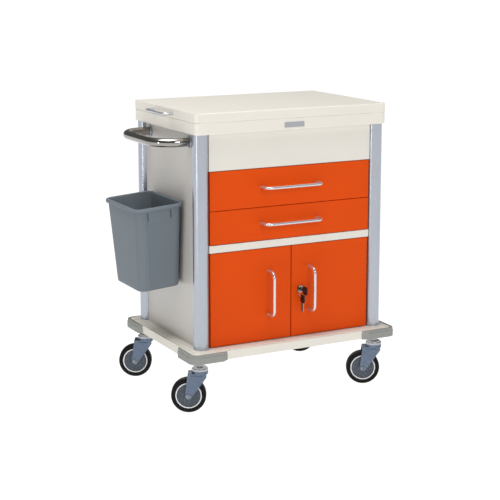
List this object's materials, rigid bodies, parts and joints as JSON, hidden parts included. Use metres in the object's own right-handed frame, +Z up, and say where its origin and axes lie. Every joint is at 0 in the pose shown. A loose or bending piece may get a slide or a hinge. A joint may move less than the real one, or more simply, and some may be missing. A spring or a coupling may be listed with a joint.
{
  "type": "instrument cart",
  "caption": "Clinic instrument cart on swivel casters with drawers, a two-door cupboard, a pull-out side shelf, a push handle and a hung waste bin.",
  "frame": {"origin": "on the floor, below the centre of the cabinet and its four casters", "axes": "+X to the cart's right, +Y to its back, +Z up; drawers and doors open towards -Y, the bin and the push handle are on the -X side"},
  "size_m": [0.7837, 0.486, 0.85],
  "materials": {
    "cream_plastic": "satin moulded",
    "cream_paint": "satin powder coat",
    "orange_paint": "semi-gloss powder coat",
    "grey_paint": "satin",
    "satin_aluminium": "satin anodised",
    "chrome": "polished",
    "zinc_plate": "blue passivated zinc",
    "plate_metal": "brushed",
    "bumper_plastic": "matte moulded",
    "bin_plastic": "satin moulded",
    "hub_plastic": "mottled grey",
    "tyre_rubber": "rubber",
    "black_plastic": "satin",
    "key_metal": "satin"
  },
  "bodies": {
    "cabinet": {"base": "cream_plastic", "corner_bumpers": "bumper_plastic", "columns": "satin_aluminium", "side_panel_left": "cream_paint", "side_panel_right": "cream_paint", "back_panel": "cream_paint", "fascia": "cream_paint", "divider_rail": "cream_paint", "uprights": "zinc_plate", "cupboard_shelf": "cream_paint", "shelf_pins": "zinc_plate", "lower_rim": "cream_plastic", "worktop_board": "cream_plastic", "end_piece_right": "cream_plastic", "shelf_runners": "zinc_plate", "nameplate": "plate_metal", "push_handle": "chrome", "handle_flanges": "chrome", "bin_hanger": "zinc_plate", "drawer_slides_outer": "zinc_plate", "door_pivots": "zinc_plate", "magnet_catch": "black_plastic", "caster_stems": "zinc_plate", "screws": "zinc_plate"},
    "side_shelf": {"side_shelf_board": "cream_plastic", "side_shelf_end": "cream_plastic", "side_shelf_handle": "satin_aluminium"},
    "drawer_1": {"drawer_1_front": "orange_paint", "drawer_1_box": "grey_paint", "drawer_1_handle": "satin_aluminium", "drawer_1_slides": "zinc_plate"},
    "drawer_1_middle": {"drawer_1_middles": "zinc_plate"},
    "drawer_2": {"drawer_2_front": "orange_paint", "drawer_2_box": "grey_paint", "drawer_2_handle": "satin_aluminium", "drawer_2_slides": "zinc_plate"},
    "drawer_2_middle": {"drawer_2_middles": "zinc_plate"},
    "left_door": {"left_door_panel": "orange_paint", "left_door_handle": "satin_aluminium"},
    "right_door": {"right_door_panel": "orange_paint", "right_door_handle": "satin_aluminium", "lock_barrel": "chrome"},
    "lock_key": {"lock_plug": "chrome", "key": "black_plastic"},
    "spare_key_ring": {"key_ring": "chrome", "spare_key": "key_metal"},
    "bin": {"waste_bin": "bin_plastic"},
    "swivel_fl": {"fork_fl": "zinc_plate"},
    "wheel_fl": {"hub_fl": "hub_plastic", "tyre_fl": "tyre_rubber"},
    "swivel_fr": {"fork_fr": "zinc_plate"},
    "wheel_fr": {"hub_fr": "hub_plastic", "tyre_fr": "tyre_rubber"},
    "swivel_rl": {"fork_rl": "zinc_plate"},
    "wheel_rl": {"hub_rl": "hub_plastic", "tyre_rl": "tyre_rubber"},
    "swivel_rr": {"fork_rr": "zinc_plate"},
    "wheel_rr": {"hub_rr": "hub_plastic", "tyre_rr": "tyre_rubber"}
  },
  "joints": [
    {"name": "side_shelf_slide", "type": "slide", "parent": "cabinet", "child": "side_shelf", "axis": [-1, 0, 0], "range_m": [0, 0.3]},
    {"name": "drawer_1_slide", "type": "slide", "parent": "cabinet", "child": "drawer_1", "axis": [0, -1, 0], "range_m": [0, 0.34]},
    {"name": "drawer_1_middle_slide", "type": "slide", "parent": "cabinet", "child": "drawer_1_middle", "axis": [0, -1, 0], "range_m": [0, 0.17]},
    {"name": "drawer_2_slide", "type": "slide", "parent": "cabinet", "child": "drawer_2", "axis": [0, -1, 0], "range_m": [0, 0.34]},
    {"name": "drawer_2_middle_slide", "type": "slide", "parent": "cabinet", "child": "drawer_2_middle", "axis": [0, -1, 0], "range_m": [0, 0.17]},
    {"name": "left_door_hinge", "type": "hinge", "parent": "cabinet", "child": "left_door", "pos_m": [-0.2525, -0.192, 0.3], "axis": [0, 0, -1], "range_deg": [0, 110]},
    {"name": "right_door_hinge", "type": "hinge", "parent": "cabinet", "child": "right_door", "pos_m": [0.2525, -0.192, 0.3], "axis": [0, 0, 1], "range_deg": [0, 110]},
    {"name": "key_turn", "type": "hinge", "parent": "right_door", "child": "lock_key", "pos_m": [0.03, -0.1955, 0.322], "axis": [0, 1, 0], "range_deg": [0, 90]},
    {"name": "spare_key_swing", "type": "hinge", "parent": "right_door", "child": "spare_key_ring", "pos_m": [0.03, -0.2145, 0.322], "axis": [-1, 0, 0], "range_deg": [-5, 15]},
    {"name": "bin_lift", "type": "slide", "parent": "cabinet", "child": "bin", "axis": [-0.0785, 0, 0.9969], "range_m": [0, 0.12]},
    {"name": "swivel_fl", "type": "hinge", "parent": "cabinet", "child": "swivel_fl", "pos_m": [-0.29, -0.192, 0.115], "axis": [0, 0, 1], "continuous": true},
    {"name": "roll_fl", "type": "hinge", "parent": "swivel_fl", "child": "wheel_fl", "pos_m": [-0.31833, -0.17713, 0.05], "axis": [-0.4648, -0.8854, 0], "continuous": true},
    {"name": "swivel_fr", "type": "hinge", "parent": "cabinet", "child": "swivel_fr", "pos_m": [0.29, -0.192, 0.115], "axis": [0, 0, 1], "continuous": true},
    {"name": "roll_fr", "type": "hinge", "parent": "swivel_fr", "child": "wheel_fr", "pos_m": [0.26167, -0.17713, 0.05], "axis": [-0.4648, -0.8854, 0], "continuous": true},
    {"name": "swivel_rl", "type": "hinge", "parent": "cabinet", "child": "swivel_rl", "pos_m": [-0.29, 0.192, 0.115], "axis": [0, 0, 1], "continuous": true},
    {"name": "roll_rl", "type": "hinge", "parent": "swivel_rl", "child": "wheel_rl", "pos_m": [-0.31833, 0.20688, 0.05], "axis": [-0.4648, -0.8854, 0], "continuous": true},
    {"name": "swivel_rr", "type": "hinge", "parent": "cabinet", "child": "swivel_rr", "pos_m": [0.29, 0.192, 0.115], "axis": [0, 0, 1], "continuous": true},
    {"name": "roll_rr", "type": "hinge", "parent": "swivel_rr", "child": "wheel_rr", "pos_m": [0.26167, 0.20688, 0.05], "axis": [-0.4648, -0.8854, 0], "continuous": true}
  ],
  "couplings": [
    {"joint": "drawer_1_middle_slide", "follows": "drawer_1_slide", "ratio": 0.5},
    {"joint": "drawer_2_middle_slide", "follows": "drawer_2_slide", "ratio": 0.5}
  ]
}
